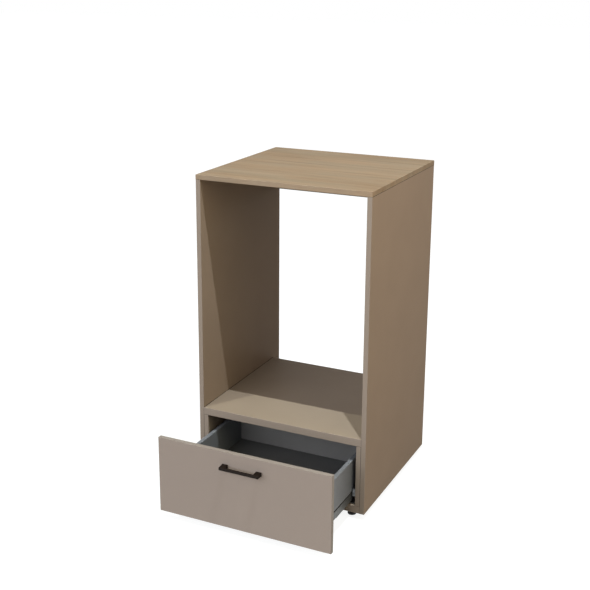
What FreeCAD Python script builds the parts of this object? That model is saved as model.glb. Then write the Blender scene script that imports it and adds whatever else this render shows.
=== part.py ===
"""Raised washing machine cabinet: an open bay over a thick platform, with one wide drawer in the base.

Millimetres. +X is right, +Y is back, +Z is up. The floor is z = 0, and the origin lies on it
under the middle of the whole outline, with the drawer standing open.
"""
import FreeCAD, Part
import os
from collections import defaultdict
from math import cos, pi, sin
from FreeCAD import Placement, Rotation, Vector

# Cabinet
cabinet_width = 675.0
cabinet_depth = 650.0
cabinet_height = 1210.0
board = 18.0
thick_board = 28.0
foot_height = 25.0
platform_height = 315.0
hose_gap = 60.0
rear_rail_height = 100.0
band = 1.0
band_bevel = 0.8
seam_bevel = 1.0

# Drawer
drawer_open = 276.0
drawer_travel = 480.0
front_gap = 2.0
front_reveal = 1.0
front_drop = 2.0
side_length = 500.0
side_gap = 15.5
side_width = 16.0
side_height = 122.0
side_wall = 1.2
side_round = 3.0
groove_height = 7.4
groove_depth = 6.0
floor_drop = 2.3
floor_ledge = 14.0
floor_board = 16.0
back_height = 100.0
bumper_radius = 4.0
bumper_air = 0.3
bumper_inset = 17.0

# Bow handle
handle_length = 152.0
handle_hole_spacing = 128.0
handle_projection = 30.0
handle_bar_depth = 8.0
handle_bar_height = 10.0
handle_leg_width = 21.0
handle_leg_height = 14.0
handle_bevel = 1.2
handle_drop = 52.0

# Telescopic runner
runner_lift = 2.6
runner_setback = 10.0
rail_trim = 6.0
middle_trim = 20.0
rail_steel = 1.5
middle_steel = 1.2
cabinet_rail_height = 38.0
track_height = 22.5
middle_width = 8.8
middle_drop = 27.0
drawer_rail_width = 14.0
drawer_rail_drop = 28.6
lower_roller = 7.4
upper_roller = 5.4
roller_count = 4
roller_air = 0.3
roller_sides = 12
cage_end_air = 40.0
cage_wall = 0.8
cage_air = 0.4
cage_shy = 1.2
runner_screw_insets = (55.0, 250.0, 455.0)

# Brackets of the drawer
bracket_steel = 1.5
bracket_air = 0.5
bracket_height = 80.0
bracket_reach = 55.0
bracket_overlap = 30.0
bracket_screw_inset = 18.0

# Feet
foot_inset_side = 60.0
foot_inset_depth = 35.0
foot_radius = 16.0
foot_neck_radius = 12.0
foot_disc_height = 7.0
foot_screw_radius = 4.0
foot_screw_floor = 8.0
foot_screw_length = 39.0
foot_screw_air = 0.3
foot_chamfer = 1.5
foot_sides = 32
socket_flange = 2.0
socket_flange_radius = 13.0
socket_radius = 7.0
socket_length = 24.0

# Fasteners of the carcase, with flat-sided shanks and bores
fit = 0.1
fastener_sides = 6
cam_sides = 12
dowel_radius = 4.0
dowel_length = 30.0
dowel_in_face = 10.0
dowel_end_air = 0.5
cam_radius = 7.4
cam_depth = 13.5
cam_distance = 34.0
cam_slot_width = 1.4
cam_slot_depth = 2.0
cam_slot_length = 10.0
bolt_thread = 11.0
bolt_shank_radius = 2.5
bolt_head_radius = 3.3
bolt_head = 4.0
bolt_air = 0.3
confirmat_head_radius = 5.0
confirmat_shank_radius = 3.5
confirmat_length = 50.0
flat_head_radius = 4.0
flat_shank_radius = 2.0
flat_length = 30.0
pan_head_radius = 3.6
pan_head = 2.0
pan_shank_radius = 1.9
pan_length = 14.0
handle_screw_head_radius = 4.0
handle_screw_head = 2.6
handle_screw_radius = 2.0
handle_screw_length = 25.0
wall_hole_radius = 3.0
wall_hole_spacing = 400.0
top_dowel_inset = 55.0
top_cam_front_inset = 200.0
top_cam_back_inset = 90.0
base_dowel_inset = 45.0
base_cam_inset = 100.0
base_screw_inset = 150.0
upright_screw_inset = 70.0
upright_screw_rise = 75.0
rail_dowel_drop = 75.0
rail_cam_drop = 45.0

# Levels and places that follow from the sizes above
half_width = cabinet_width / 2
bay_half = half_width - board
base_half = bay_half - board
front_reach = front_gap + drawer_open + board + handle_projection
front_y = (front_reach - cabinet_depth) / 2
back_y = front_y + cabinet_depth
base_back_y = back_y - hose_gap
top_under = cabinet_height - board
bottom_top = foot_height + thick_board
platform_under = platform_height - thick_board
upright_x = base_half + board / 2

side_out = base_half - side_gap
side_in = side_out - side_width
runner_x = side_in + side_width / 2
flange_z = bottom_top + runner_lift
track_top = flange_z + rail_steel + track_height
middle_under = track_top + lower_roller + 2 * roller_air
middle_top = middle_under + middle_steel
drawer_rail_under = middle_top + upper_roller + 2 * roller_air
drawer_rail_top = drawer_rail_under + rail_steel
groove_top = drawer_rail_top + groove_height
side_top = groove_top + side_height
floor_under = drawer_rail_top - floor_drop
floor_top = floor_under + floor_board

track_y = front_y + runner_setback
middle_length = side_length - middle_trim
cage_length = middle_length - drawer_travel / 2 - cage_end_air
front_back_y = front_y - front_gap - drawer_open
front_face_y = front_back_y - board
drawer_end_y = front_back_y + side_length
front_top = platform_height - front_drop
handle_z = front_top - handle_drop

# The axis of each end of a board, and whether it is the high end
board_ends = {
    "left": ("x", False), "right": ("x", True),
    "front": ("y", False), "back": ("y", True),
    "bottom": ("z", False), "top": ("z", True),
}
tolerance = 1e-6
pieces = defaultdict(list)
bores = defaultdict(list)


def box(low, high):
    size = [b - a for a, b in zip(low, high)]
    return Part.makeBox(size[0], size[1], size[2], Vector(*low))


def span(a, b):
    """A box between any two opposite corners."""
    low = [min(pair) for pair in zip(a, b)]
    high = [max(pair) for pair in zip(a, b)]
    return box(low, high)


def prism(corners, path):
    return polygon(corners).extrude(path)


def section(outline, y0, y1):
    """An outline of (x, z) points drawn out along Y."""
    corners = [Vector(x, y0, z) for x, z in outline]
    return prism(corners, Vector(0, y1 - y0, 0))


def plan(outline, z0, z1):
    """An outline of (x, y) points drawn out along Z."""
    corners = [Vector(x, y, z0) for x, y in outline]
    return prism(corners, Vector(0, 0, z1 - z0))


def polygon(corners):
    return Part.Face(Part.makePolygon(corners + corners[:1]))


def turned(profile, start, direction, sides=fastener_sides):
    """A turned solid with flat sides, from (distance along the axis, radius at the flats) points."""
    place = Placement(start, Rotation(Vector(0, 0, 1), direction))
    angles = [2 * pi * side / sides for side in range(sides)]
    rings = []
    for along, radius in profile:
        corner = radius / cos(pi / sides)
        rings.append([place.multVec(Vector(corner * cos(a), corner * sin(a), along)) for a in angles])
    faces = [polygon(rings[0]), polygon(rings[-1])]
    for ring, following in zip(rings, rings[1:]):
        for side in range(sides):
            faces.append(polygon([ring[side - 1], ring[side], following[side], following[side - 1]]))
    solid = Part.makeSolid(Part.makeShell(faces))
    if solid.Volume < 0:
        solid.reverse()
    return solid


def rod(radius, start, direction, length, sides=fastener_sides):
    return turned([(0, radius), (length, radius)], start, direction, sides)


def mirrored(shape):
    return shape.mirror(Vector(0, 0, 0), Vector(1, 0, 0))


def long_edges(solid, letter, level):
    """The longest edges that lie at one level of an axis."""
    axis = "xyz".index(letter)
    at_level = []
    for edge in solid.Edges:
        if all(abs(vertex.Point[axis] - level) < tolerance for vertex in edge.Vertexes):
            at_level.append(edge)
    longest = max(edge.Length for edge in at_level)
    return [edge for edge in at_level if edge.Length > longest - tolerance]


def banded_board(name, band_name, low, high, edges):
    """A board whose named edges carry glued bands."""
    low = list(low)
    high = list(high)
    for edge in edges:
        letter, at_high = board_ends[edge]
        axis = "xyz".index(letter)
        strip_low = list(low)
        strip_high = list(high)
        if at_high:
            level = high[axis]
            high[axis] -= band
            strip_low[axis] = high[axis]
        else:
            level = low[axis]
            low[axis] += band
            strip_high[axis] = low[axis]
        strip = box(strip_low, strip_high)
        pieces[band_name].append(strip.makeChamfer(band_bevel, long_edges(strip, letter, level)))
    pieces[name].append(box(low, high))


# Fasteners, each with its bore in the boards that it joins
def add_dowel(names, point, into):
    start = point - into * dowel_in_face
    pieces["dowels"].append(rod(dowel_radius, start, into, dowel_length))
    bore_start = start - into * dowel_end_air
    bore = rod(dowel_radius + fit, bore_start, into, dowel_length + 2 * dowel_end_air)
    for name in names:
        bores[name].append(bore)


def add_cam_joint(face_name, edge_name, point, into, outward):
    """A bolt in the face of one board, pulled by a cam let into the other, `outward` from its middle."""
    bolt_end = cam_distance + bolt_head / 2
    profile = [(-bolt_thread, bolt_shank_radius), (bolt_end - bolt_head, bolt_shank_radius)]
    profile += [(bolt_end - bolt_head, bolt_head_radius), (bolt_end, bolt_head_radius)]
    pieces["cam_bolts"].append(turned(profile, point, into))

    centre = point + into * cam_distance
    cam_start = centre + outward * (board / 2 - cam_depth)
    cam = rod(cam_radius, cam_start, outward, cam_depth, cam_sides)
    way = rod(bolt_head_radius + bolt_air, point, into, bolt_end + bolt_air)
    face_centre = centre + outward * (board / 2)
    slot_half = into.cross(outward) * (cam_slot_length / 2) + into * (cam_slot_width / 2)
    slot = span(face_centre - slot_half - outward * cam_slot_depth, face_centre + slot_half)
    pieces["cam_locks"].append(cam.cut([way, slot]))

    thread_depth = bolt_thread + fit
    bores[face_name].append(rod(bolt_shank_radius + fit, point - into * thread_depth, into, thread_depth))
    cam_bore = rod(cam_radius + fit, cam_start - outward * fit, outward, cam_depth + fit, cam_sides)
    bores[edge_name] += [way, cam_bore]


def add_screw(group, profile, names, start, direction):
    """A turned screw, with a bore of its own form in every board and plate that it passes."""
    pieces[group].append(turned(profile, start, direction))
    bore = turned([(along, radius + fit) for along, radius in profile], start, direction)
    for name in names:
        bores[name].append(bore)


def sunk_profile(head_radius, shank_radius, length):
    """A countersunk screw, flush with its board."""
    return [(0, head_radius), (head_radius - shank_radius, shank_radius), (length, shank_radius)]


def pan_profile(head_radius, head, shank_radius, length):
    """A screw whose head stands on its plate."""
    return [(-head, head_radius), (0, head_radius), (0, shank_radius), (length, shank_radius)]


confirmat = sunk_profile(confirmat_head_radius, confirmat_shank_radius, confirmat_length)
flat_screw = sunk_profile(flat_head_radius, flat_shank_radius, flat_length)
pan_screw = pan_profile(pan_head_radius, pan_head, pan_shank_radius, pan_length)
handle_screw = pan_profile(handle_screw_head_radius, handle_screw_head, handle_screw_radius,
                           handle_screw_length)


# Boards of the cabinet
def make_top():
    low = (-half_width, front_y, top_under)
    high = (half_width, back_y, cabinet_height)
    banded_board("top_panel", "top_edge_bands", low, high, ("front", "back", "left", "right"))


def make_sides():
    for side, low_x in (("left", -half_width), ("right", bay_half)):
        low = (low_x, front_y, foot_height)
        high = (low_x + board, back_y, top_under)
        name = side + "_side_panel"
        banded_board(name, side + "_side_edge_bands", low, high, ("front", "back"))
        panel = pieces[name].pop()
        pieces[name].append(panel.makeChamfer(seam_bevel, long_edges(panel, "z", top_under)))


def make_base():
    low = (-bay_half, front_y, platform_under)
    high = (bay_half, base_back_y, platform_height)
    banded_board("platform_panel", "platform_edge_bands", low, high, ("front", "back"))
    low = (-bay_half, front_y, foot_height)
    high = (bay_half, base_back_y, bottom_top)
    banded_board("bottom_panel", "base_edge_bands", low, high, ("front", "back"))
    for side, low_x in (("left", -bay_half), ("right", base_half)):
        low = (low_x, front_y, bottom_top)
        high = (low_x + board, base_back_y, platform_under)
        banded_board(side + "_base_upright", "base_edge_bands", low, high, ("front",))
    low = (-base_half, base_back_y - board, bottom_top)
    high = (base_half, base_back_y, platform_under)
    pieces["base_back_panel"].append(box(low, high))


def make_rear_rail():
    low = (-bay_half, back_y - board, top_under - rear_rail_height)
    high = (bay_half, back_y, top_under)
    pieces["rear_top_rail"].append(box(low, high))
    for sign in (-1, 1):
        start = Vector(sign * wall_hole_spacing / 2, low[1], top_under - rear_rail_height / 2)
        bores["rear_top_rail"].append(Part.makeCylinder(wall_hole_radius, board, start, Vector(0, 1, 0)))


def join_carcase():
    up = Vector(0, 0, 1)
    back = Vector(0, 1, 0)
    base_depth = cabinet_depth - hose_gap
    back_board_y = base_back_y - board / 2
    top_cam_places = (front_y + top_cam_front_inset, back_y - top_cam_back_inset)
    for side, sign in (("left", -1), ("right", 1)):
        out = Vector(sign, 0, 0)
        side_name = side + "_side_panel"
        upright_name = side + "_base_upright"
        side_mid = sign * (half_width - board / 2)
        for y in (front_y + top_dowel_inset, sum(top_cam_places) / 2, back_y - top_dowel_inset):
            add_dowel(("top_panel", side_name), Vector(side_mid, y, top_under), -up)
        for y in top_cam_places:
            add_cam_joint("top_panel", side_name, Vector(side_mid, y, top_under), -up, -out)

        upright_mid = sign * upright_x
        for inset in (base_dowel_inset, base_depth - base_dowel_inset):
            y = front_y + inset
            add_dowel(("platform_panel", upright_name), Vector(upright_mid, y, platform_under), -up)
            add_dowel(("bottom_panel", upright_name), Vector(upright_mid, y, bottom_top), up)
        for inset in (base_cam_inset, base_depth - base_cam_inset):
            point = Vector(upright_mid, front_y + inset, platform_under)
            add_cam_joint("platform_panel", upright_name, point, -up, -out)
        for inset in (base_screw_inset, base_depth - base_screw_inset):
            start = Vector(upright_mid, front_y + inset, foot_height)
            add_screw("confirmat_screws", confirmat, ("bottom_panel", upright_name), start, up)
        for level in (bottom_top + upright_screw_rise, platform_under - upright_screw_rise):
            for inset in (upright_screw_inset, base_depth - upright_screw_inset):
                start = Vector(sign * base_half, front_y + inset, level)
                add_screw("upright_screws", flat_screw, (upright_name, side_name), start, out)
            start = Vector(sign * bay_half, back_board_y, level)
            add_screw("confirmat_screws", confirmat, (upright_name, "base_back_panel"), start, -out)

        rail_end = Vector(sign * bay_half, back_y - board / 2, top_under)
        add_dowel((side_name, "rear_top_rail"), rail_end - up * rail_dowel_drop, -out)
        add_cam_joint(side_name, "rear_top_rail", rail_end - up * rail_cam_drop, -out, -back)


# Feet
def make_feet():
    depths = (("front", front_y + foot_inset_depth), ("rear", base_back_y - foot_inset_depth))
    neck_top = foot_height - socket_flange
    slope = foot_radius - foot_neck_radius
    pad_profile = [(0, foot_radius - foot_chamfer), (foot_chamfer, foot_radius)]
    pad_profile += [(foot_disc_height, foot_radius), (foot_disc_height + slope, foot_neck_radius)]
    pad_profile += [(neck_top, foot_neck_radius)]
    socket_profile = [(neck_top, socket_flange_radius), (foot_height, socket_flange_radius)]
    socket_profile += [(foot_height, socket_radius), (foot_height + socket_length, socket_radius)]
    up = Vector(0, 0, 1)
    for end, y in depths:
        for side, sign in (("left", -1), ("right", 1)):
            place = Vector(sign * (half_width - foot_inset_side), y, 0)
            name = "foot_" + end + "_" + side
            screw_foot = place + up * foot_screw_floor
            seat = rod(foot_screw_radius + fit, screw_foot, up, foot_screw_length)
            pieces[name + "_pad"].append(turned(pad_profile, place, up, foot_sides).cut(seat))
            screw = Part.makeCylinder(foot_screw_radius, foot_screw_length, screw_foot, up)
            pieces[name + "_screw"].append(screw)
            way = rod(foot_screw_radius + foot_screw_air, place, up, bottom_top)
            pieces["foot_sockets"].append(turned(socket_profile, place, up, cam_sides).cut(way))
            socket_start = place + up * foot_height
            bores["bottom_panel"].append(rod(socket_radius + fit, socket_start, up, thick_board, cam_sides))


# Drawer box
def make_drawer_front():
    half = half_width - front_reveal
    low = (-half, front_face_y, foot_height)
    high = (half, front_back_y, front_top)
    banded_board("drawer_front", "drawer_front_edge_bands", low, high, ("top", "bottom", "left", "right"))
    for sign in (-1, 1):
        for z in (bottom_top + bumper_inset, platform_under - bumper_inset):
            start = Vector(sign * upright_x, front_back_y, z)
            bumper = rod(bumper_radius, start, Vector(0, 1, 0), front_gap - bumper_air, roller_sides)
            pieces["bumper_pads"].append(bumper)


def make_drawer_sides():
    """Double-wall steel profile: a hollow wall over a set-back neck, with a ledge for the floor."""
    rail_face = runner_x - drawer_rail_width / 2
    ledge_under = floor_under - side_wall
    neck_out = side_out - groove_depth
    outline = [
        (side_in - floor_ledge, ledge_under), (rail_face, ledge_under),
        (rail_face, drawer_rail_top), (neck_out, drawer_rail_top),
        (neck_out, groove_top), (side_out, groove_top),
        (side_out, side_top), (side_in, side_top),
        (side_in, floor_under), (side_in - floor_ledge, floor_under),
    ]
    wall = section(outline, front_back_y, drawer_end_y)
    wall = wall.makeFillet(side_round, long_edges(wall, "z", side_top))
    hollow_top = side_top - side_wall
    low = (side_in + side_wall, front_back_y, groove_top + side_wall)
    hollow = box(low, (side_out - side_wall, drawer_end_y, hollow_top))
    wall = wall.cut(hollow.makeFillet(side_round - side_wall, long_edges(hollow, "z", hollow_top)))
    pieces["drawer_right_side"].append(wall)
    pieces["drawer_left_side"].append(mirrored(wall))


def make_drawer_floor_and_back():
    back_face_y = drawer_end_y - floor_board
    low = (-side_in, front_back_y, floor_under)
    pieces["drawer_bottom"].append(box(low, (side_in, drawer_end_y, floor_top)))
    low = (-side_in, back_face_y, floor_top)
    pieces["drawer_back"].append(box(low, (side_in, drawer_end_y, floor_top + back_height)))


def make_brackets():
    """Angle plates whose tongues lie in the hollow of the drawer sides."""
    tongue_out = side_out - side_wall - bracket_air
    tongue_in = tongue_out - bracket_steel
    flange_in = side_in + side_wall + bracket_air
    z0 = groove_top + (side_height - bracket_height) / 2
    z1 = z0 + bracket_height
    screw_levels = (z0 + bracket_screw_inset, z1 - bracket_screw_inset)
    front_outline = [
        (flange_in, front_back_y), (tongue_out, front_back_y),
        (tongue_out, front_back_y + bracket_reach), (tongue_in, front_back_y + bracket_reach),
        (tongue_in, front_back_y + bracket_steel), (flange_in, front_back_y + bracket_steel),
    ]
    rear_in = side_in - bracket_overlap
    rear_outline = [
        (rear_in, drawer_end_y), (tongue_in, drawer_end_y),
        (tongue_in, drawer_end_y - bracket_reach), (tongue_out, drawer_end_y - bracket_reach),
        (tongue_out, drawer_end_y + bracket_steel), (rear_in, drawer_end_y + bracket_steel),
    ]
    front_bracket = plan(front_outline, z0, z1)
    rear_bracket = plan(rear_outline, z0, z1)
    forward = Vector(0, -1, 0)
    for side, sign in (("left", -1), ("right", 1)):
        front_name = side + "_front_bracket"
        rear_name = side + "_rear_bracket"
        pieces[front_name].append(front_bracket if sign > 0 else mirrored(front_bracket))
        pieces[rear_name].append(rear_bracket if sign > 0 else mirrored(rear_bracket))
        for z in screw_levels:
            start = Vector(sign * (flange_in + tongue_in) / 2, front_back_y + bracket_steel, z)
            add_screw("drawer_screws", pan_screw, (front_name, "drawer_front"), start, forward)
            start = Vector(sign * (rear_in + side_in) / 2, drawer_end_y + bracket_steel, z)
            add_screw("drawer_screws", pan_screw, (rear_name, "drawer_back"), start, forward)


def make_handle():
    """Plan and side outlines that cross in one bow, with a bevelled bar and legs that widen to the front."""
    half = handle_length / 2
    leg_in = half - handle_leg_width
    bar_front = front_face_y - handle_projection
    bar_back = bar_front + handle_bar_depth
    bevel_y = bar_front + handle_bevel
    bow = [
        (-half, front_face_y), (-half, bevel_y), (-half + handle_bevel, bar_front),
        (half - handle_bevel, bar_front), (half, bevel_y), (half, front_face_y),
        (leg_in, front_face_y), (leg_in, bar_back), (-leg_in, bar_back), (-leg_in, front_face_y),
    ]
    tallest = handle_leg_height / 2
    bar_half = handle_bar_height / 2
    nose_half = bar_half - handle_bevel
    taper = [
        (front_face_y, -tallest), (front_face_y, tallest), (bar_back, bar_half), (bevel_y, bar_half),
        (bar_front, nose_half), (bar_front, -nose_half), (bevel_y, -bar_half), (bar_back, -bar_half),
    ]
    flat = plan(bow, handle_z - tallest, handle_z + tallest)
    corners = [Vector(-half, y, handle_z + z) for y, z in taper]
    pieces["handle"].append(flat.common(prism(corners, Vector(handle_length, 0, 0))))
    for sign in (-1, 1):
        start = Vector(sign * handle_hole_spacing / 2, front_back_y, handle_z)
        add_screw("handle_screws", handle_screw, ("drawer_front", "handle"), start, Vector(0, -1, 0))


# Telescopic runners: a track on the cabinet, a middle rail over it and a drawer rail over that
def channel(width, top, drop, steel, y0, y1):
    """A channel with its open side down, centred on the runner."""
    out = width / 2
    inside = out - steel
    outline = [
        (runner_x - out, top - drop), (runner_x - out, top),
        (runner_x + out, top), (runner_x + out, top - drop),
        (runner_x + inside, top - drop), (runner_x + inside, top - steel),
        (runner_x - inside, top - steel), (runner_x - inside, top - drop),
    ]
    return section(outline, y0, y1)


def make_rails():
    track_half = rail_steel
    web_in = base_half - rail_steel
    outline = [
        (runner_x - track_half, flange_z), (base_half, flange_z),
        (base_half, flange_z + cabinet_rail_height), (web_in, flange_z + cabinet_rail_height),
        (web_in, flange_z + rail_steel), (runner_x + track_half, flange_z + rail_steel),
        (runner_x + track_half, track_top), (runner_x - track_half, track_top),
    ]
    cabinet_rail = section(outline, track_y, track_y + side_length - runner_setback)
    middle_y = track_y + front_gap - drawer_open / 2
    middle_end = middle_y + middle_length
    middle = channel(middle_width, middle_top, middle_drop, middle_steel, middle_y, middle_end)
    rail_y = front_back_y + rail_trim
    drawer_rail = channel(drawer_rail_width, drawer_rail_top, drawer_rail_drop, rail_steel,
                          rail_y, drawer_end_y)
    for name, shape in (("cabinet", cabinet_rail), ("middle", middle), ("drawer", drawer_rail)):
        pieces["right_runner_" + name + "_rail"].append(shape)
        pieces["left_runner_" + name + "_rail"].append(mirrored(shape))
    for side, sign in (("left", -1), ("right", 1)):
        for inset in runner_screw_insets:
            start = Vector(sign * web_in, track_y + inset, flange_z + cabinet_rail_height / 2)
            names = (side + "_runner_cabinet_rail", side + "_base_upright")
            add_screw("runner_screws", pan_screw, names, start, Vector(sign, 0, 0))
    middle_space = middle_width - 2 * middle_steel
    make_cage("lower", lower_roller, track_top, middle_under, middle_space, (track_y + middle_end) / 2)
    drawer_space = drawer_rail_width - 2 * rail_steel
    upper_y = (middle_y + drawer_end_y) / 2
    make_cage("upper", upper_roller, middle_top, drawer_rail_under, drawer_space, upper_y)


def make_cage(level, roller, z0, z1, space, middle_y):
    """A row of rollers in a plastic cage, halfway along the overlap of the two rails that it runs between."""
    half = space / 2 - cage_air
    y0 = middle_y - cage_length / 2
    cage = box((runner_x - half, y0, z0 + cage_shy), (runner_x + half, y0 + cage_length, z1 - cage_shy))
    roller_half = half - cage_wall - roller_air
    pitch = cage_length / roller_count
    windows = []
    for index in range(roller_count):
        y = y0 + pitch * (index + 0.5)
        reach = roller / 2 + roller_air
        window_half = half - cage_wall
        windows.append(box((runner_x - window_half, y - reach, z0), (runner_x + window_half, y + reach, z1)))
        start = Vector(runner_x - roller_half, y, (z0 + z1) / 2)
        wheel = rod(roller / 2, start, Vector(1, 0, 0), 2 * roller_half, roller_sides)
        pieces[level + "_rollers"] += [wheel, mirrored(wheel)]
    cage = cage.cut(windows)
    pieces[level + "_roller_cages"] += [cage, mirrored(cage)]


make_top()
make_sides()
make_base()
make_rear_rail()
join_carcase()
make_feet()
make_drawer_front()
make_drawer_sides()
make_drawer_floor_and_back()
make_brackets()
make_handle()
make_rails()

os.makedirs("parts", exist_ok=True)
for name, solids in pieces.items():
    if name in bores:
        solids = [solid.cut(bores[name]) for solid in solids]
    shape = solids[0] if len(solids) == 1 else Part.makeCompound(solids)
    shape.exportStep("parts/" + name + ".step")
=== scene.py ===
"""Looks of a raised washing machine cabinet with an open drawer, in metres, in the frame of its CAD model."""
import math
import bmesh
import bpy
from mathutils import Matrix, Vector


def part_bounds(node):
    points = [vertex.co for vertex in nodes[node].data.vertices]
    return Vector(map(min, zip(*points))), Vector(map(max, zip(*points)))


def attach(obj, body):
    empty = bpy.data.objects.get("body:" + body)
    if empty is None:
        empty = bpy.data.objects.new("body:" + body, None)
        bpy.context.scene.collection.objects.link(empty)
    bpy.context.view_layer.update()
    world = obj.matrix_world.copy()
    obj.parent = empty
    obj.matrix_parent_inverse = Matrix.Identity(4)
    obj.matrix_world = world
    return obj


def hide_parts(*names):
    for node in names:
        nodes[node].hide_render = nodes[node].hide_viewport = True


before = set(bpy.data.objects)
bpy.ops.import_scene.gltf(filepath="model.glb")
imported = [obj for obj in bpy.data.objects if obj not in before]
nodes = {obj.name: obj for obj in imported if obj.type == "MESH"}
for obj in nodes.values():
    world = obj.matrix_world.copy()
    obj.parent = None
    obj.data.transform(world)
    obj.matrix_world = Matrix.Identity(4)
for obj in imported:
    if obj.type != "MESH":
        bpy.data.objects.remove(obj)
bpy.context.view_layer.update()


# Materials
# How far from other surfaces the painted shade reaches that darkens board colours in grooves and inner corners.
BOARD_SEAM_SHADE_REACH = 0.0018
OAK_SEAM_SHADE_REACH = 0.003
NOISE_RANGE = (0.25, 0.75)


def grey(level):
    return (level,) * 3


def scaled(colour, factor):
    return tuple(part * factor for part in colour)


class Shader:
    """A material whose textures lie in the frame's own coordinates."""

    def __init__(self, name, colour, roughness, **fixed):
        self.material = bpy.data.materials.new(name)
        self.material.use_nodes = True
        self.tree = self.material.node_tree
        self.surface = self.tree.nodes["Principled BSDF"]
        self.surface.inputs["Base Color"].default_value = (*colour, 1)
        self.surface.inputs["Roughness"].default_value = roughness
        for socket, value in fixed.items():
            self.surface.inputs[socket.replace("_", " ")].default_value = value
        self.place = self.node("ShaderNodeTexCoord").outputs["Object"]

    def node(self, kind, **settings):
        made = self.tree.nodes.new(kind)
        for name, value in settings.items():
            setattr(made, name, value)
        return made

    def join(self, source, target):
        self.tree.links.new(source, target)

    def noise(self, scale, detail, rough=0.5, distortion=0.0, place=None):
        texture = self.node("ShaderNodeTexNoise")
        texture.inputs["Scale"].default_value = scale
        texture.inputs["Detail"].default_value = detail
        texture.inputs["Roughness"].default_value = rough
        texture.inputs["Distortion"].default_value = distortion
        self.join(place or self.place, texture.inputs["Vector"])
        return texture.outputs["Fac"]

    def lines(self, axis, along, across, **settings):
        """Noise stretched into lines along one axis."""
        scale = [across] * 3
        scale[axis] = along
        mapping = self.node("ShaderNodeMapping")
        mapping.inputs["Scale"].default_value = scale
        self.join(self.place, mapping.inputs["Vector"])
        return self.noise(1.0, place=mapping.outputs["Vector"], **settings)

    def ramp(self, factor, stops):
        ramp = self.node("ShaderNodeValToRGB")
        while len(ramp.color_ramp.elements) < len(stops):
            ramp.color_ramp.elements.new(0.5)
        for element, (position, colour) in zip(ramp.color_ramp.elements, stops):
            element.position = position
            element.color = (*colour, 1)
        self.join(factor, ramp.inputs["Fac"])
        return ramp.outputs["Color"]

    def multiply(self, a, b):
        mixer = self.node("ShaderNodeMix", data_type="RGBA", blend_type="MULTIPLY")
        mixer.inputs["Factor"].default_value = 1.0
        self.join(a, mixer.inputs["A"])
        self.join(b, mixer.inputs["B"])
        return mixer.outputs["Result"]

    def span(self, factor, low, high):
        """Noise brought to the range from low to high."""
        ranged = self.node("ShaderNodeMapRange")
        ranged.inputs["From Min"].default_value = NOISE_RANGE[0]
        ranged.inputs["From Max"].default_value = NOISE_RANGE[1]
        ranged.inputs["To Min"].default_value = low
        ranged.inputs["To Max"].default_value = high
        self.join(factor, ranged.inputs["Value"])
        return ranged.outputs["Result"]

    def seams(self, source, reach):
        """The colour with painted shade: darkened wherever ambient occlusion finds fine grooves and inner corners, as
        where two boards meet.
        """
        occlusion = self.node("ShaderNodeAmbientOcclusion", samples=8)
        occlusion.inputs["Distance"].default_value = reach
        shade = self.ramp(occlusion.outputs["AO"], [(0.72, grey(0.05)), (0.97, grey(1.0))])
        return self.multiply(source, shade)

    def colour(self, source):
        self.join(source, self.surface.inputs["Base Color"])

    def rough(self, source):
        self.join(source, self.surface.inputs["Roughness"])

    def bump(self, height, distance):
        bump = self.node("ShaderNodeBump")
        bump.inputs["Distance"].default_value = distance
        bump.inputs["Strength"].default_value = 1.0
        self.join(height, bump.inputs["Height"])
        self.join(bump.outputs["Normal"], self.surface.inputs["Normal"])


def speckled(name, colour, roughness, spread, grain, depth, seams=False, **fixed):
    """A moulded, coated or laminated surface: slow tone changes, fine speckle, a fine grain in relief and, if asked,
    painted shade in grooves and inner corners.
    """
    patch = 7.0
    sway = 0.05
    shader = Shader(name, colour, roughness, **fixed)
    slow = shader.noise(patch, detail=2.0)
    fine = shader.noise(grain, detail=4.0, rough=0.65)
    tone = shader.ramp(slow, [(0.3, scaled(colour, 1 - spread / 2)), (0.7, scaled(colour, 1 + spread / 2))])
    speck = shader.ramp(fine, [(0.3, grey(1 - spread)), (0.7, grey(1.0))])
    shade = shader.multiply(tone, speck)
    # If asked, the colour gets painted shade in grooves and inner corners, found by ambient occlusion.
    shader.colour(shader.seams(shade, BOARD_SEAM_SHADE_REACH) if seams else shade)
    shader.rough(shader.span(fine, roughness - sway, roughness + sway))
    shader.bump(fine, depth)
    return shader.material


def brushed(name, colour, roughness, axis):
    """A drawn or plated metal with fine lines along one axis."""
    shader = Shader(name, colour, roughness, Metallic=1.0)
    lines = shader.lines(axis, along=18.0, across=1400.0, detail=3.0, rough=0.6)
    cloud = shader.noise(38.0, detail=3.0, rough=0.6)
    tone = shader.ramp(lines, [(0.3, scaled(colour, 0.86)), (0.7, scaled(colour, 1.06))])
    stain = shader.ramp(cloud, [(0.35, (0.9, 0.9, 0.92)), (0.65, grey(1.0))])
    shader.colour(shader.multiply(tone, stain))
    shader.rough(shader.span(lines, roughness - 0.08, roughness + 0.1))
    shader.bump(lines, 0.00003)
    return shader.material


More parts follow.
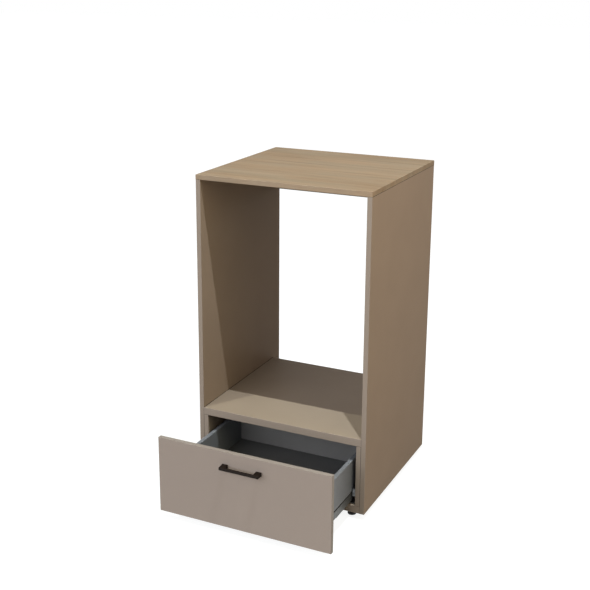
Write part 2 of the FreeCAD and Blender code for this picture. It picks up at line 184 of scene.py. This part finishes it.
def oak(name, light, dark, axis=0):
    """Wood decor: wide bands, streaks, warmer patches and short dark pores along one axis, with painted shade in
    grooves and inner corners.
    """
    shader = Shader(name, light, 0.5, Specular_IOR_Level=0.015)
    bands = shader.lines(axis, along=0.7, across=6.0, detail=3.0, distortion=1.6)
    streaks = shader.lines(axis, along=2.6, across=85.0, detail=5.0, rough=0.65, distortion=0.6)
    pores = shader.lines(axis, along=22.0, across=700.0, detail=2.0)
    patches = shader.lines(axis, along=5.0, across=16.0, detail=2.0)
    middle = tuple((a + b) / 2 for a, b in zip(light, dark))
    base = shader.ramp(bands, [(0.3, dark), (0.45, middle), (0.58, light), (0.75, middle)])
    fibre = shader.ramp(streaks, [(0.3, (0.84, 0.82, 0.79)), (0.48, (0.985, 0.98, 0.975)), (0.7, grey(1.06))])
    warmth = shader.ramp(patches, [(0.35, (1.03, 0.985, 0.95)), (0.65, (0.985, 1.01, 1.03))])
    pits = shader.ramp(pores, [(0.3, (0.84, 0.81, 0.78)), (0.42, grey(1.0))])
    shade = shader.multiply(shader.multiply(base, fibre), warmth)
    # The colour gets painted shade in grooves and inner corners, found by ambient occlusion.
    shader.colour(shader.seams(shader.multiply(shade, pits), OAK_SEAM_SHADE_REACH))
    shader.rough(shader.span(pores, 0.58, 0.46))
    shader.bump(pores, 0.00006)
    return shader.material


# The boards and their edge bands carry painted shade in grooves and inner corners.
BOARD = dict(roughness=0.55, spread=0.05, grain=1500.0, depth=0.00003, seams=True, Specular_IOR_Level=0.06)
DRAWER_BOARD = dict(roughness=0.5, spread=0.08, grain=1300.0, depth=0.00003, Specular_IOR_Level=0.1)
taupe = speckled("taupe_board", (0.305, 0.258, 0.195), **BOARD)
taupe_panel = speckled("taupe_panel", (0.305, 0.241, 0.175), **BOARD)
taupe_band = speckled("taupe_band", (0.290, 0.254, 0.207), roughness=0.45, spread=0.03, grain=900.0, depth=0.00002,
                      seams=True, Specular_IOR_Level=0.1)
greige = speckled("front_lacquer", (0.337, 0.303, 0.262), roughness=0.5, spread=0.015, grain=1600.0, depth=0.000008,
                  Specular_IOR_Level=0.1)
greige_band = speckled("front_band", (0.272, 0.249, 0.216), roughness=0.42, spread=0.02, grain=900.0, depth=0.00002,
                       Specular_IOR_Level=0.12)
oak_top = oak("oak_decor", light=(0.293, 0.231, 0.153), dark=(0.244, 0.187, 0.119))
oak_band = oak("oak_band", light=(0.328, 0.269, 0.190), dark=(0.283, 0.226, 0.154))
grey_steel = speckled("drawer_steel", (0.174, 0.195, 0.214), roughness=0.42, spread=0.04, grain=1800.0, depth=0.00003,
                      Specular_IOR_Level=0.25)
grey_board = speckled("drawer_board", (0.129, 0.137, 0.136), **DRAWER_BOARD)
grey_back = speckled("drawer_back_board", (0.292, 0.303, 0.297), **DRAWER_BOARD)
zinc = brushed("runner_zinc", (0.25, 0.26, 0.26), roughness=0.42, axis=1)
rail_steel = speckled("rail_steel", (0.11, 0.116, 0.114), roughness=0.42, spread=0.06, grain=1500.0, depth=0.00002,
                      Metallic=0.4, Specular_IOR_Level=0.3)
screw_zinc = brushed("fastener_zinc", (0.58, 0.57, 0.54), roughness=0.32, axis=2)
cam_zinc = speckled("cam_alloy", grey(0.42), roughness=0.42, spread=0.12, grain=700.0, depth=0.00005, Metallic=1.0)
bronze = speckled("handle_bronze", (0.007, 0.003, 0.001), roughness=0.4, spread=0.25, grain=900.0, depth=0.00002,
                  Metallic=0.3, Specular_IOR_Level=0.2)
black = speckled("foot_black", grey(0.012), roughness=0.5, spread=0.2, grain=600.0, depth=0.00006)
beech = oak("beech", light=(0.50, 0.34, 0.19), dark=(0.42, 0.27, 0.14), axis=2)
nylon = speckled("roller_nylon", (0.66, 0.66, 0.62), roughness=0.4, spread=0.06, grain=700.0, depth=0.00002,
                 Subsurface_Weight=0.1)
rubber = speckled("bumper_rubber", grey(0.55), roughness=0.35, spread=0.06, grain=900.0, depth=0.00002,
                  Transmission_Weight=0.3)

FINISHES = {
    "top_panel": oak_top, "top_edge_bands": oak_band, "left_side_panel": taupe_panel, "right_side_panel": taupe_panel,
    "drawer_front": greige, "drawer_front_edge_bands": greige_band, "drawer_left_side": grey_steel,
    "drawer_right_side": grey_steel, "drawer_back": grey_back, "drawer_bottom": grey_board, "handle": bronze,
    "bumper_pads": rubber, "dowels": beech, "foot_sockets": black, "cam_locks": cam_zinc,
}
FINISHES_BY_WORD = (
    ("_pad", black), ("roller", nylon), ("bands", taupe_band), ("screw", screw_zinc), ("bolts", screw_zinc),
    ("bracket", zinc), ("runner", rail_steel),
)


def finish_of(name):
    if name in FINISHES:
        return FINISHES[name]
    for word, finish in FINISHES_BY_WORD:
        if word in name:
            return finish
    return taupe


for name, node in nodes.items():
    node.data.materials.clear()
    node.data.materials.append(finish_of(name))


# Meshes
FULL_TURN = 2 * math.pi
CLOSE = 1e-6
END_REACH = 1e-5
SMOOTH_ANGLE = math.radians(35)
SEGMENTS = 40
SCREW_SEGMENTS = 32
CUTTER_START = 0.001


def finished(mesh):
    data = bpy.data.meshes.new("template")
    mesh.to_mesh(data)
    mesh.free()
    return data


def lathe(profile, segments, notches=0, bite=0.0):
    """A solid turned about +Z from (radius, height) points, with notches of depth bite spaced round its flanks."""
    mesh = bmesh.new()
    rings = []
    for radius, height in profile:
        if radius < CLOSE:
            rings.append([mesh.verts.new((0, 0, height))])
            continue
        ring = []
        for index in range(segments):
            angle = FULL_TURN * index / segments
            reach = radius - (bite if notches and index * notches * 2 // segments % 2 else 0.0)
            ring.append(mesh.verts.new((reach * math.cos(angle), reach * math.sin(angle), height)))
        rings.append(ring)
    if rings[0][0].co.xy.length > CLOSE:
        rings.append(rings[0])
    for lower, upper in zip(rings, rings[1:]):
        for index in range(segments):
            following = (index + 1) % segments
            corners = [lower[index % len(lower)], lower[following % len(lower)],
                       upper[following % len(upper)], upper[index % len(upper)]]
            mesh.faces.new(list(dict.fromkeys(corners)))
    bmesh.ops.recalc_face_normals(mesh, faces=mesh.faces)
    return finished(mesh)


def prism(outline, z0, z1, narrow=1.0):
    """An outline in X and Y drawn out along Z, with its lower end narrowed."""
    mesh = bmesh.new()
    lower = [mesh.verts.new((x * narrow, y * narrow, z0)) for x, y in outline]
    upper = [mesh.verts.new((x, y, z1)) for x, y in outline]
    mesh.faces.new(lower[::-1])
    mesh.faces.new(upper)
    for index in range(len(outline)):
        following = (index + 1) % len(outline)
        mesh.faces.new((lower[index], lower[following], upper[following], upper[index]))
    bmesh.ops.recalc_face_normals(mesh, faces=mesh.faces)
    return finished(mesh)


def shown(name, data):
    made = bpy.data.objects.new(name, data)
    bpy.context.scene.collection.objects.link(made)
    return made


def carved(data, *cutters):
    """The mesh with the cutters' room taken out of it."""
    solid = shown("solid", data)
    tools = [shown("cutter", cutter) for cutter in cutters]
    for tool in tools:
        cut = solid.modifiers.new("cut", "BOOLEAN")
        cut.object = tool
        cut.solver = "EXACT"
    bpy.context.view_layer.update()
    graph = bpy.context.evaluated_depsgraph_get()
    result = bpy.data.meshes.new_from_object(solid.evaluated_get(graph))
    for made in (solid, *tools):
        bpy.data.objects.remove(made)
    return result


def cross(reach, half):
    """Outline of a cross whose arms are two halves wide."""
    corner = [(half, half), (half, reach), (-half, reach)]
    return [(x * c - y * s, x * s + y * c) for c, s in ((1, 0), (0, 1), (-1, 0), (0, -1)) for x, y in corner]


def regular(radius, sides):
    """Outline of a regular polygon."""
    angles = [FULL_TURN * index / sides for index in range(sides)]
    return [(radius * math.cos(angle), radius * math.sin(angle)) for angle in angles]


def dome(radius, rim, rise, base, steps=6):
    """Points of a rounded cap from its rim up to the axis."""
    points = [(radius, base), (radius, base + rim)]
    for step in range(1, steps + 1):
        angle = math.pi / 2 * step / steps
        points.append((radius * math.cos(angle), base + rim + rise * math.sin(angle)))
    points[-1] = (0.0, base + rim + rise)
    return points


def facing(point, out):
    return Matrix.Translation(point) @ out.to_track_quat("Z", "Y").to_matrix().to_4x4()


def bore(point, out, radius, depth):
    """A round cutter that goes into a face from just outside it."""
    rod = lathe([(0.0, CUTTER_START), (radius, CUTTER_START), (radius, -depth), (0.0, -depth)], SEGMENTS)
    rod.transform(facing(point, out))
    return rod


# The CAD nodes' separate solids
def loose_parts(name):
    """The separate solids of a node, each as a list of corner points."""
    mesh = bmesh.new()
    mesh.from_mesh(nodes[name].data)
    bmesh.ops.remove_doubles(mesh, verts=mesh.verts, dist=CLOSE)
    left = set(mesh.verts)
    parts = []
    while left:
        queue = [left.pop()]
        part = []
        while queue:
            corner = queue.pop()
            part.append(corner.co.copy())
            near = {edge.other_vert(corner) for edge in corner.link_edges} & left
            left -= near
            queue += near
        parts.append(part)
    mesh.free()
    return sorted(parts, key=lambda part: tuple(round(v, 4) for v in part_box(part)[0]))


def part_box(part):
    return tuple(Vector(pick(v[i] for v in part) for i in range(3)) for pick in (min, max))


def long_axis(part):
    low, high = part_box(part)
    return max(range(3), key=lambda i: high[i] - low[i])


def broad_end(part, axis):
    """Middle of the broader end of a turned part and the way that end faces."""
    low, high = part_box(part)
    middle = (low + high) / 2
    reach = {}
    for end in (low[axis], high[axis]):
        rim = [v - middle for v in part if abs(v[axis] - end) < END_REACH]
        reach[end] = max(math.hypot(*(v[i] for i in range(3) if i != axis)) for v in rim)
    end = max(reach, key=reach.get)
    out = Vector((0, 0, 0))
    out[axis] = 1.0 if end == high[axis] else -1.0
    middle[axis] = end
    return middle, out


def cam_places():
    """The middle of each cam's face and the way it faces."""
    places = []
    for part in loose_parts("cam_locks"):
        low, high = part_box(part)
        axis = min(range(3), key=lambda i: high[i] - low[i])
        middle = (low + high) / 2
        out = Vector((0, 0, 0))
        out[axis] = -1.0 if middle[axis] > 0 else 1.0
        middle[axis] = low[axis] if out[axis] < 0 else high[axis]
        places.append((middle, out))
    return places


# Pieces
def add_piece(name, copies, material, body, replaced=None):
    """Joins placed copies of meshes into one piece that rides on a body."""
    joined = bmesh.new()
    for data, matrix in copies:
        start = len(joined.verts)
        joined.from_mesh(data)
        joined.verts.ensure_lookup_table()
        bmesh.ops.transform(joined, matrix=matrix, verts=joined.verts[start:])
    for face in joined.faces:
        face.smooth = True
    for edge in joined.edges:
        edge.smooth = edge.is_manifold and edge.calc_face_angle() < SMOOTH_ANGLE
    data = finished(joined)
    data.name = name
    data.materials.append(material)
    made = shown(name, data)
    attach(made, body)
    if replaced:
        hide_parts(replaced)
    return made


def soften(made, width, segments=3):
    bevel = made.modifiers.new("soft_edges", "BEVEL")
    bevel.width = width
    bevel.segments = segments
    bevel.limit_method = "ANGLE"
    bevel.angle_limit = math.radians(25)
    bevel.harden_normals = True


# A flush head stands this far out of its board, so that the two faces don't share a plane.
PROUD = 0.00005


def shank(radius, start, length):
    return [(radius, -start), (radius, 1.2 * radius - length), (0.3 * radius, -length), (0.0, -length)]


def pan_screw(head, rise, radius, length, drive):
    """A screw with a domed head and a cross recess of depth drive."""
    profile = dome(head, 0.3 * rise, 0.7 * rise, -rise)[::-1] + shank(radius, rise, length)
    return carved(lathe(profile, SCREW_SEGMENTS), prism(cross(0.55 * head, 0.14 * head), -drive, rise, 0.6))


def sunk_screw(head, taper, radius, length, recess, drive):
    """A countersunk screw with a recess of the given outline and depth drive."""
    rim = 0.06 * head
    profile = [(0.0, 0.0), (head - rim, 0.0), (head, -rim), (head, -2 * rim), (radius, -taper)]
    profile += shank(radius, taper, length)[1:]
    return carved(lathe(profile, SCREW_SEGMENTS), prism(recess, -drive, CUTTER_START, 0.8))


def add_screws(name, node, axis, body, template, lift=0.0):
    copies = []
    for part in loose_parts(node):
        point, out = broad_end(part, axis(part) if callable(axis) else axis)
        copies.append((template, facing(point + out * lift, out)))
    add_piece(name, copies, screw_zinc, body, node)


def add_all_screws():
    pan = pan_screw(head=0.0036, rise=0.002, radius=0.0018, length=0.016, drive=0.0012)
    add_screws("round_drawer_screws", "drawer_screws", 1, "drawer", pan)
    add_screws("round_runner_screws", "runner_screws", 0, "cabinet", pan)
    long_pan = pan_screw(head=0.004, rise=0.0026, radius=0.0019, length=0.0276, drive=0.0016)
    add_screws("round_handle_screws", "handle_screws", 1, "drawer", long_pan)
    chipboard = sunk_screw(head=0.0046, taper=0.003, radius=0.0019, length=0.030, recess=cross(0.0025, 0.0006),
                           drive=0.0018)
    add_screws("round_upright_screws", "upright_screws", 0, "cabinet", chipboard, PROUD)
    confirmat = sunk_screw(head=0.0057, taper=0.004, radius=0.0034, length=0.050, recess=regular(0.0024, 6),
                           drive=0.003)
    add_screws("round_confirmat_screws", "confirmat_screws", long_axis, "cabinet", confirmat, PROUD)


def add_cams():
    """Cam locks with a cross slot and an arrow mark."""
    radius = 0.0076
    rim = 0.0004
    length = 0.0133
    slot_depth = 0.0022
    mark_depth = 0.0005
    mark_tip, mark_foot, mark_half = 0.0062, 0.0052, 0.0007
    disc = lathe([(0, 0), (radius - rim, 0), (radius, -rim), (radius, -length), (0, -length)], SEGMENTS)
    slot = prism(cross(0.0042, 0.0008), -slot_depth, CUTTER_START, 0.85)
    arrow = [(mark_tip, 0.0), (mark_foot, mark_half), (mark_foot, -mark_half)]
    cam = carved(disc, slot, prism(arrow, -mark_depth, CUTTER_START))
    copies = [(cam, facing(point + out * PROUD, out)) for point, out in cam_places()]
    add_piece("round_cam_locks", copies, cam_zinc, "cabinet", "cam_locks")


def add_rear_rail():
    """The rear top rail, deep enough to show as a dark line under the top's front edge, as in the photograph."""
    depth = 0.15
    wall_hole_spacing = 0.4
    wall_hole_radius = 0.003
    cam_bore_radius = 0.0077
    cam_bore_depth = 0.0136
    low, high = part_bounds("rear_top_rail")
    front = Vector((0, -1, 0))
    bores = [bore(point, out, cam_bore_radius, cam_bore_depth) for point, out in cam_places()
             if out == front and low.z < point.z < high.z]
    for side in (-1, 1):
        hole = Vector((side * wall_hole_spacing / 2, low.y, (low.z + high.z) / 2))
        bores.append(bore(hole, front, wall_hole_radius, high.y - low.y + CUTTER_START))
    outline = [(low.x, low.y), (high.x, low.y), (high.x, high.y), (low.x, high.y)]
    rail = carved(prism(outline, high.z - depth, high.z), *bores)
    add_piece("deep_rear_top_rail", [(rail, Matrix())], taupe, "cabinet", "rear_top_rail")


def add_rollers(level):
    """Rollers with chamfered rims and a hub standing in a shallow ring."""
    chamfer = 0.0003
    round_share = 0.975
    copies = []
    for part in loose_parts(level + "_rollers"):
        low, high = part_box(part)
        half = (high.x - low.x) / 2
        radius = (high.y - low.y) / 2 * round_share
        side = [(0.0, half), (0.3 * radius, half), (0.34 * radius, half - chamfer), (0.7 * radius, half - chamfer),
                (0.74 * radius, half), (radius - chamfer, half), (radius, half - chamfer)]
        wheel = lathe(side + [(r, -z) for r, z in side[::-1]], SEGMENTS)
        copies.append((wheel, facing((low + high) / 2, Vector((1, 0, 0)))))
    name = level + "_rollers"
    add_piece("round_" + name, copies, nylon, "runner_" + level + "_cages", name)


def add_bumpers():
    radius = 0.004
    copies = []
    for part in loose_parts("bumper_pads"):
        low, high = part_box(part)
        height = high.y - low.y
        pad = lathe([(0.0, 0.0)] + dome(radius, 0.4 * height, 0.6 * height, 0.0), SEGMENTS)
        middle = (low + high) / 2
        middle.y = low.y
        copies.append((pad, facing(middle, Vector((0, 1, 0)))))
    add_piece("domed_bumper_pads", copies, rubber, "drawer", "bumper_pads")


def add_foot(foot):
    """A levelling foot: a gripped disc with a soft edge, a cone and a collar."""
    radius, rise = 0.016, 0.007
    floor_edge, edge_inset, edge_rise, upper_edge = 0.0016, 0.0006, 0.0005, 0.001
    cone_radius, cone_top = 0.0128, 0.0098
    collar_radius, collar_start, collar_edge = 0.012, 0.0112, 0.0006
    notches, notch_depth, notch_segments = 24, 0.0006, 144
    low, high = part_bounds(foot + "_pad")
    disc = [(0.0, 0.0), (radius - floor_edge, 0.0), (radius - edge_inset, edge_rise), (radius, floor_edge),
            (radius, rise - upper_edge), (radius - upper_edge, rise)]
    collar = [(cone_radius, cone_top), (collar_radius, collar_start), (collar_radius, high.z - collar_edge),
              (collar_radius - collar_edge, high.z), (0.0, high.z)]
    middle = (low + high) / 2
    middle.z = 0.0
    pad = lathe(disc + collar, notch_segments, notches, notch_depth)
    add_piece(foot + "_gripped_pad", [(pad, Matrix.Translation(middle))], black, foot, foot + "_pad")


def add_sockets():
    """Socket flanges under the bottom panel, with a soft edge and the bore of the foot's screw."""
    bore_radius, sleeve_radius, flange_radius = 0.0044, 0.0068, 0.013
    flange, soft_edge = 0.002, 0.0006
    segments = 48
    copies = []
    for part in loose_parts("foot_sockets"):
        low, high = part_box(part)
        top = high.z - low.z
        ring = [(bore_radius, 0.0), (flange_radius - soft_edge, 0.0), (flange_radius, soft_edge),
                (flange_radius, flange), (sleeve_radius, flange), (sleeve_radius, top), (bore_radius, top)]
        middle = (low + high) / 2
        middle.z = low.z
        copies.append((lathe(ring, segments), Matrix.Translation(middle)))
    add_piece("round_foot_sockets", copies, black, "cabinet", "foot_sockets")


def add_rail_clips():
    """Zinc-plated clips on the front ends of the cabinet rails, beside the drawer sides."""
    length, lap, slope_length, slope_drop = 0.028, 0.006, 0.008, 0.009
    drawer_air, side_inset, overhang, rise = 0.0035, 0.0015, 0.006, 0.019
    soft_edge = 0.0008
    low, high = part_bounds("right_runner_cabinet_rail")
    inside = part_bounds("drawer_right_side")[1].x + drawer_air
    outside = high.x - side_inset
    nose = low.y - overhang
    top = high.z + rise
    foot = high.z - lap
    outline = [(nose, foot), (nose, top - slope_drop), (nose + slope_length, top), (nose + length - slope_length, top),
               (nose + length, top - slope_drop), (nose + length, foot)]
    lengthways = Matrix(((0, 0, 1, 0), (1, 0, 0, 0), (0, 1, 0, 0), (0, 0, 0, 1)))
    copies = [(prism(outline, x0, x1), lengthways) for x0, x1 in ((-outside, -inside), (inside, outside))]
    clips = add_piece("runner_front_clips", copies, zinc, "cabinet")
    soften(clips, soft_edge)


add_all_screws()
add_cams()
add_rear_rail()
add_rollers("lower")
add_rollers("upper")
add_bumpers()
for end in ("front", "rear"):
    for side in ("left", "right"):
        add_foot("foot_" + end + "_" + side)
add_sockets()
add_rail_clips()

soften(nodes["handle"], width=0.0009)
soften(nodes["drawer_back"], width=0.0005)
for name in nodes:
    if "bracket" in name or "runner" in name and name.endswith("_rail"):
        soften(nodes[name], width=0.0003, segments=2)


# Lamps
def light(name, kind, place, energy, colour, **settings):
    data = bpy.data.lights.new(name, kind)
    data.energy = energy
    data.color = colour
    for key, value in settings.items():
        setattr(data, key, value)
    lamp = bpy.data.objects.new(name, data)
    lamp.location = place
    bpy.context.scene.collection.objects.link(lamp)
    return lamp


def aim(lamp, direction):
    lamp.rotation_euler = Vector(direction).to_track_quat("-Z", "Y").to_euler()


def faded(lamp, falloff):
    """Makes a near lamp lose less strength with distance."""
    lamp.data.use_nodes = True
    tree = lamp.data.node_tree
    node = tree.nodes.new("ShaderNodeLightFalloff")
    node.inputs["Strength"].default_value = 1.0
    tree.links.new(node.outputs[falloff], tree.nodes["Emission"].inputs["Strength"])


def key_place(side, slope, rise):
    """A point from which the top's front edge and a side panel's edge throw their shadows at the given slopes."""
    depth_slope = 0.221
    low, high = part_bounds("top_panel")
    board = high.z - low.z
    inner = high.x - board
    return (side * (inner + slope * rise), low.y - depth_slope * rise, low.z + rise)


key_left = light("key_left", "POINT", key_place(side=-1, slope=0.133, rise=1.5), energy=9.05,
                 colour=(1.0, 1.0, 0.822), shadow_soft_size=0.005)
key_right = light("key_right", "POINT", key_place(side=1, slope=0.172, rise=2.2), energy=71.8,
                  colour=(0.957, 0.968, 1.0), shadow_soft_size=0.012)
front_fill = light("front_fill", "SUN", (0, -4, 3), energy=2.74, colour=(0.935, 0.915, 0.985), angle=math.radians(70))
light("right_fill", "POINT", (2.2, -0.9, 1.9), energy=60.0, colour=(1.0, 0.87, 0.578), shadow_soft_size=0.8)
light("side_fill", "POINT", (1.5, 0.05, 1.45), energy=9.0, colour=(1.0, 0.72, 0.6), shadow_soft_size=0.5)
back_fill = light("back_fill", "SUN", (0, 4, 1), energy=1.7, colour=(0.96, 1.0, 1.0), angle=math.radians(8))
faded(key_left, "Constant")
faded(key_right, "Linear")
aim(front_fill, (0.36, 1.0, -0.25))
aim(back_fill, (0.0, -1.0, 0.0))


# Background and floor
def seen(tree):
    """1 for rays that show a surface itself: from the camera, in a reflection or through glass."""
    path = tree.nodes.new("ShaderNodeLightPath")
    total = path.outputs["Is Camera Ray"]
    for other in ("Is Glossy Ray", "Is Transmission Ray"):
        either = tree.nodes.new("ShaderNodeMath")
        either.operation = "MAXIMUM"
        tree.links.new(total, either.inputs[0])
        tree.links.new(path.outputs[other], either.inputs[1])
        total = either.outputs[0]
    return total


def make_world():
    """White where it is seen, and a weak warm light for all other rays."""
    world = bpy.data.worlds.new("studio")
    bpy.context.scene.world = world
    world.use_nodes = True
    tree = world.node_tree
    ambient = tree.nodes["Background"]
    ambient.inputs["Color"].default_value = (1.0, 0.8, 0.72, 1)
    ambient.inputs["Strength"].default_value = 0.25
    white = tree.nodes.new("ShaderNodeBackground")
    white.inputs["Color"].default_value = (1, 1, 1, 1)
    white.inputs["Strength"].default_value = 1.0
    choose = tree.nodes.new("ShaderNodeMixShader")
    tree.links.new(seen(tree), choose.inputs["Fac"])
    tree.links.new(ambient.outputs[0], choose.inputs[1])
    tree.links.new(white.outputs[0], choose.inputs[2])
    tree.links.new(choose.outputs[0], tree.nodes["World Output"].inputs["Surface"])


def make_floor():
    """A floor that is seen as white with the object's shadow, and that throws back a dim warm light."""
    mesh = bpy.data.meshes.new("floor")
    reach = 30.0
    height = -0.0005
    corners = [(-reach, -reach, height), (reach, -reach, height), (reach, reach, height), (-reach, reach, height)]
    mesh.from_pydata(corners, [], [(0, 1, 2, 3)])
    floor = shown("floor", mesh)
    material = bpy.data.materials.new("floor")
    material.use_nodes = True
    tree = material.node_tree
    tree.nodes.remove(tree.nodes["Principled BSDF"])
    white = tree.nodes.new("ShaderNodeAddShader")
    glow = tree.nodes.new("ShaderNodeEmission")
    glow.inputs["Strength"].default_value = 0.89
    shadow = tree.nodes.new("ShaderNodeBsdfDiffuse")
    shadow.inputs["Color"].default_value = (0.24, 0.274, 0.278, 1)
    bounce = tree.nodes.new("ShaderNodeBsdfDiffuse")
    bounce.inputs["Color"].default_value = (0.34, 0.30, 0.26, 1)
    choose = tree.nodes.new("ShaderNodeMixShader")
    tree.links.new(glow.outputs[0], white.inputs[0])
    tree.links.new(shadow.outputs[0], white.inputs[1])
    tree.links.new(seen(tree), choose.inputs["Fac"])
    tree.links.new(bounce.outputs[0], choose.inputs[1])
    tree.links.new(white.outputs[0], choose.inputs[2])
    tree.links.new(choose.outputs[0], tree.nodes["Material Output"].inputs["Surface"])
    mesh.materials.append(material)


make_world()
make_floor()


# Camera
lens = bpy.data.cameras.new("camera")
lens.sensor_width = 36.0
lens.lens = 64.65
lens.shift_x = 0.045
lens.shift_y = -0.06
lens.clip_end = 100.0
camera = bpy.data.objects.new("camera", lens)
camera.location = (1.5605, -3.3733, 1.9416)
camera.rotation_euler = (math.radians(74.279), 0, math.radians(26.579))
bpy.context.scene.collection.objects.link(camera)
bpy.context.scene.camera = camera
bpy.context.scene.view_settings.view_transform = "Standard"
